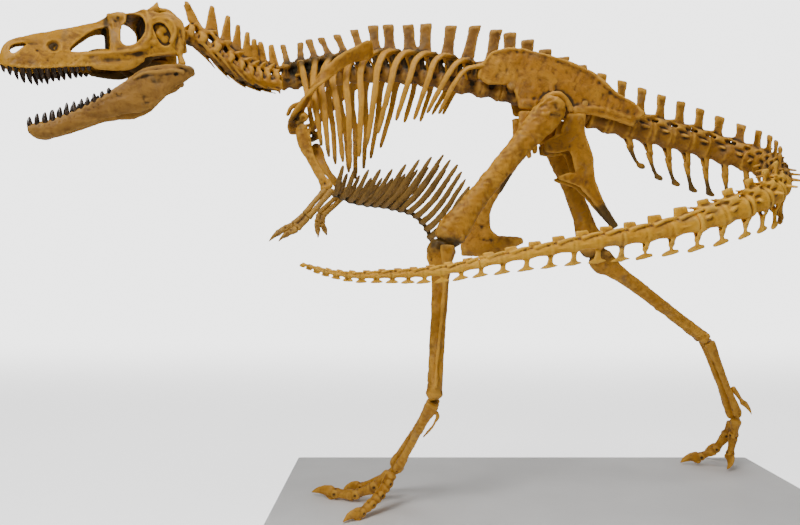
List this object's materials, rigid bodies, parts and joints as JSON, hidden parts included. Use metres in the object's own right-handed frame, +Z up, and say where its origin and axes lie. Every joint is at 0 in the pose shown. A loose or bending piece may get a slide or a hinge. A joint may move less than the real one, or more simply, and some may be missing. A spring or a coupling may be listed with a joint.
{
  "type": "mounted dinosaur skeleton",
  "caption": "Life-size still museum skeleton of a mid-sized two-legged meat-eating dinosaur in a striding pose, tail curled forward, on a flat base.",
  "frame": {"origin": "centre of the underside of the base board, on the floor", "axes": "+Z up, -X the way the animal faces (towards the snout), -Y the animal's left"},
  "size_m": [3.6052, 1.399, 2.3415],
  "materials": {
    "cranium": "ochre and brown mottled bone cast, slight semi-gloss",
    "mandible": "ochre and brown mottled bone cast, slight semi-gloss",
    "neck": "ochre and brown mottled bone cast, slight semi-gloss",
    "trunk_left": "ochre and brown mottled bone cast, slight semi-gloss",
    "trunk_right": "ochre and brown mottled bone cast, slight semi-gloss",
    "gastralia": "ochre and brown mottled bone cast, slight semi-gloss",
    "sacrum": "ochre and brown mottled bone cast, slight semi-gloss",
    "tail_1": "ochre and brown mottled bone cast, slight semi-gloss",
    "tail_2": "ochre and brown mottled bone cast, slight semi-gloss",
    "tail_3": "ochre and brown mottled bone cast, slight semi-gloss",
    "tail_4": "ochre and brown mottled bone cast, slight semi-gloss",
    "tail_5": "ochre and brown mottled bone cast, slight semi-gloss",
    "scapula_left": "ochre and brown mottled bone cast, slight semi-gloss",
    "humerus_left": "ochre and brown mottled bone cast, slight semi-gloss",
    "radius_left": "ochre and brown mottled bone cast, slight semi-gloss",
    "ulna_left": "ochre and brown mottled bone cast, slight semi-gloss",
    "hand_left": "ochre and brown mottled bone cast, slight semi-gloss",
    "finger_1_left": "ochre and brown mottled bone cast, slight semi-gloss",
    "finger_2_left": "ochre and brown mottled bone cast, slight semi-gloss",
    "ilium_left": "ochre and brown mottled bone cast, slight semi-gloss",
    "ischium_left": "ochre and brown mottled bone cast, slight semi-gloss",
    "femur_left": "ochre and brown mottled bone cast, slight semi-gloss",
    "tibia_left": "ochre and brown mottled bone cast, slight semi-gloss",
    "fibula_left": "ochre and brown mottled bone cast, slight semi-gloss",
    "metatarsal_2_left": "ochre and brown mottled bone cast, slight semi-gloss",
    "metatarsal_3_left": "ochre and brown mottled bone cast, slight semi-gloss",
    "metatarsal_4_left": "ochre and brown mottled bone cast, slight semi-gloss",
    "toe_2_left": "ochre and brown mottled bone cast, slight semi-gloss",
    "toe_3_left": "ochre and brown mottled bone cast, slight semi-gloss",
    "toe_4_left": "ochre and brown mottled bone cast, slight semi-gloss",
    "dewclaw_left": "ochre and brown mottled bone cast, slight semi-gloss",
    "scapula_right": "ochre and brown mottled bone cast, slight semi-gloss",
    "humerus_right": "ochre and brown mottled bone cast, slight semi-gloss",
    "radius_right": "ochre and brown mottled bone cast, slight semi-gloss",
    "ulna_right": "ochre and brown mottled bone cast, slight semi-gloss",
    "hand_right": "ochre and brown mottled bone cast, slight semi-gloss",
    "finger_1_right": "ochre and brown mottled bone cast, slight semi-gloss",
    "finger_2_right": "ochre and brown mottled bone cast, slight semi-gloss",
    "ilium_right": "ochre and brown mottled bone cast, slight semi-gloss",
    "ischium_right": "ochre and brown mottled bone cast, slight semi-gloss",
    "femur_right": "ochre and brown mottled bone cast, slight semi-gloss",
    "tibia_right": "ochre and brown mottled bone cast, slight semi-gloss",
    "fibula_right": "ochre and brown mottled bone cast, slight semi-gloss",
    "metatarsal_2_right": "ochre and brown mottled bone cast, slight semi-gloss",
    "metatarsal_3_right": "ochre and brown mottled bone cast, slight semi-gloss",
    "metatarsal_4_right": "ochre and brown mottled bone cast, slight semi-gloss",
    "toe_2_right": "ochre and brown mottled bone cast, slight semi-gloss",
    "toe_3_right": "ochre and brown mottled bone cast, slight semi-gloss",
    "toe_4_right": "ochre and brown mottled bone cast, slight semi-gloss",
    "dewclaw_right": "ochre and brown mottled bone cast, slight semi-gloss",
    "pubis": "ochre and brown mottled bone cast, slight semi-gloss",
    "stand_base": "satin pale grey painted board with a plain wood edge"
  },
  "bodies": {
    "root": {"cranium": "cranium", "mandible": "mandible", "neck": "neck", "trunk_left": "trunk_left", "trunk_right": "trunk_right", "gastralia": "gastralia", "sacrum": "sacrum", "tail_1": "tail_1", "tail_2": "tail_2", "tail_3": "tail_3", "tail_4": "tail_4", "tail_5": "tail_5", "scapula_left": "scapula_left", "humerus_left": "humerus_left", "radius_left": "radius_left", "ulna_left": "ulna_left", "hand_left": "hand_left", "finger_1_left": "finger_1_left", "finger_2_left": "finger_2_left", "ilium_left": "ilium_left", "ischium_left": "ischium_left", "femur_left": "femur_left", "tibia_left": "tibia_left", "fibula_left": "fibula_left", "metatarsal_2_left": "metatarsal_2_left", "metatarsal_3_left": "metatarsal_3_left", "metatarsal_4_left": "metatarsal_4_left", "toe_2_left": "toe_2_left", "toe_3_left": "toe_3_left", "toe_4_left": "toe_4_left", "dewclaw_left": "dewclaw_left", "scapula_right": "scapula_right", "humerus_right": "humerus_right", "radius_right": "radius_right", "ulna_right": "ulna_right", "hand_right": "hand_right", "finger_1_right": "finger_1_right", "finger_2_right": "finger_2_right", "ilium_right": "ilium_right", "ischium_right": "ischium_right", "femur_right": "femur_right", "tibia_right": "tibia_right", "fibula_right": "fibula_right", "metatarsal_2_right": "metatarsal_2_right", "metatarsal_3_right": "metatarsal_3_right", "metatarsal_4_right": "metatarsal_4_right", "toe_2_right": "toe_2_right", "toe_3_right": "toe_3_right", "toe_4_right": "toe_4_right", "dewclaw_right": "dewclaw_right", "pubis": "pubis", "stand_base": "stand_base"}
  },
  "joints": []
}
